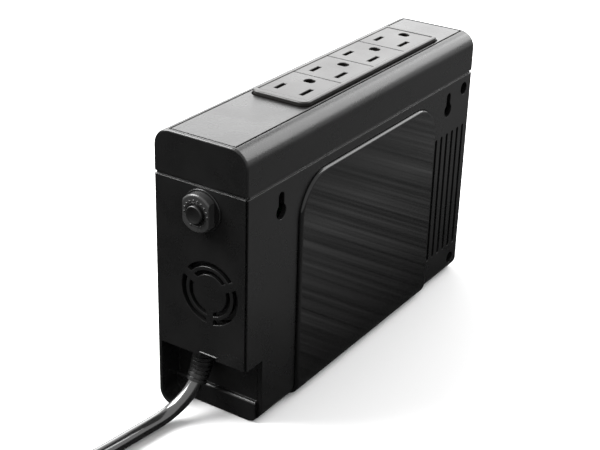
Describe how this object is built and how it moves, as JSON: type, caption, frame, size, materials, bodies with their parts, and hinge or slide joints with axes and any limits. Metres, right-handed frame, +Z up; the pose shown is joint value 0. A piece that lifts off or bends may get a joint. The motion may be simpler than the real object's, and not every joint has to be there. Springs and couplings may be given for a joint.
{
  "type": "uninterruptible power supply",
  "caption": "Slim upright battery backup: sockets in a raised strip along the top, wall keyholes and a pull-off battery door on one side, breaker, sounder grille and mains lead on the end.",
  "frame": {"origin": "centre of the case's underside", "axes": "+Z up; +X along the case to the front end with the power button, so the mains lead, breaker and grille are at -X; -Y is the side that faces a wall, with the keyholes, vents and battery door"},
  "size_m": [0.391, 0.0559, 0.1248],
  "materials": {
    "case_plastic": "satin moulded",
    "inlay_plastic": "fine matte",
    "outlet_plastic": "satin moulded",
    "carrier_plastic": "moulded",
    "door_plastic": "polished",
    "contact_brass": "rolled",
    "battery_case": "moulded",
    "terminal_tin": "tinned",
    "circuit_board": "solder mask",
    "core_steel": "varnished laminations",
    "strap_steel": "zinc plated",
    "bobbin_plastic": "moulded",
    "winding": "enamelled copper",
    "sink_aluminium": "extruded",
    "device_plastic": "moulded",
    "relay_plastic": "moulded",
    "capacitor_sleeve": "shrink sleeve",
    "fuse_glass": "clear",
    "breaker_plastic": "moulded",
    "breaker_button": "moulded",
    "power_button": "satin",
    "lens": "clear",
    "boot_rubber": "moulded",
    "cord_jacket": "extruded",
    "plug_plastic": "moulded",
    "plug_metal": "nickel tint",
    "lead_black": "extruded",
    "lead_red": "extruded",
    "lead_green": "extruded",
    "lead_yellow": "extruded"
  },
  "bodies": {
    "root": {"alarm_sounder": "device_plastic", "battery_case": "battery_case", "battery_lead_black": "lead_black", "battery_lead_red": "lead_red", "battery_lid": "battery_case", "battery_terminals": "terminal_tin", "board_fuse": "fuse_glass", "board_screws": "strap_steel", "board_tabs": "terminal_tin", "body_shell": "case_plastic", "breaker_body": "breaker_plastic", "breaker_collar": "breaker_plastic", "breaker_terminals": "contact_brass", "breaker_washer": "breaker_plastic", "capacitors": "capacitor_sleeve", "case_screws": "strap_steel", "ground_contacts": "contact_brass", "ground_lead": "lead_green", "heat_sink": "sink_aluminium", "line_contacts": "contact_brass", "main_board": "circuit_board", "mains_leads": "lead_black", "neutral_contacts": "contact_brass", "outlet_carrier": "carrier_plastic", "outlet_face_1": "outlet_plastic", "outlet_face_2": "outlet_plastic", "outlet_face_3": "outlet_plastic", "outlet_face_4": "outlet_plastic", "outlet_frame": "outlet_plastic", "plug_blades": "plug_metal", "plug_body": "plug_plastic", "plug_ground_pin": "plug_metal", "plug_strain_relief": "boot_rubber", "power_cord": "cord_jacket", "power_cord_end": "cord_jacket", "power_cord_hank": "cord_jacket", "power_switch": "device_plastic", "power_transistors": "device_plastic", "relays": "relay_plastic", "socket_leads": "lead_black", "status_lens": "lens", "strain_relief": "boot_rubber", "switch_board": "circuit_board", "top_cover": "case_plastic", "top_inlay": "inlay_plastic", "transformer_bobbin": "bobbin_plastic", "transformer_core": "core_steel", "transformer_leads": "lead_yellow", "transformer_strap": "strap_steel", "transformer_winding": "winding", "wall_side_cover": "case_plastic"},
    "battery_cover": {"battery_cover": "door_plastic"},
    "breaker_button": {"breaker_button": "breaker_button"},
    "power_button": {"power_button": "power_button"}
  },
  "joints": [
    {"name": "battery_cover_slide", "type": "slide", "parent": "root", "child": "battery_cover", "axis": [0, -1, 0], "range_m": [0, 0.06]},
    {"name": "breaker_trip", "type": "slide", "parent": "root", "child": "breaker_button", "axis": [-1, 0, 0], "range_m": [0, 0.003]},
    {"name": "power_press", "type": "slide", "parent": "root", "child": "power_button", "axis": [-1, 0, 0], "range_m": [0, 0.0015], "stiffness_N_per_m": 400}
  ]
}
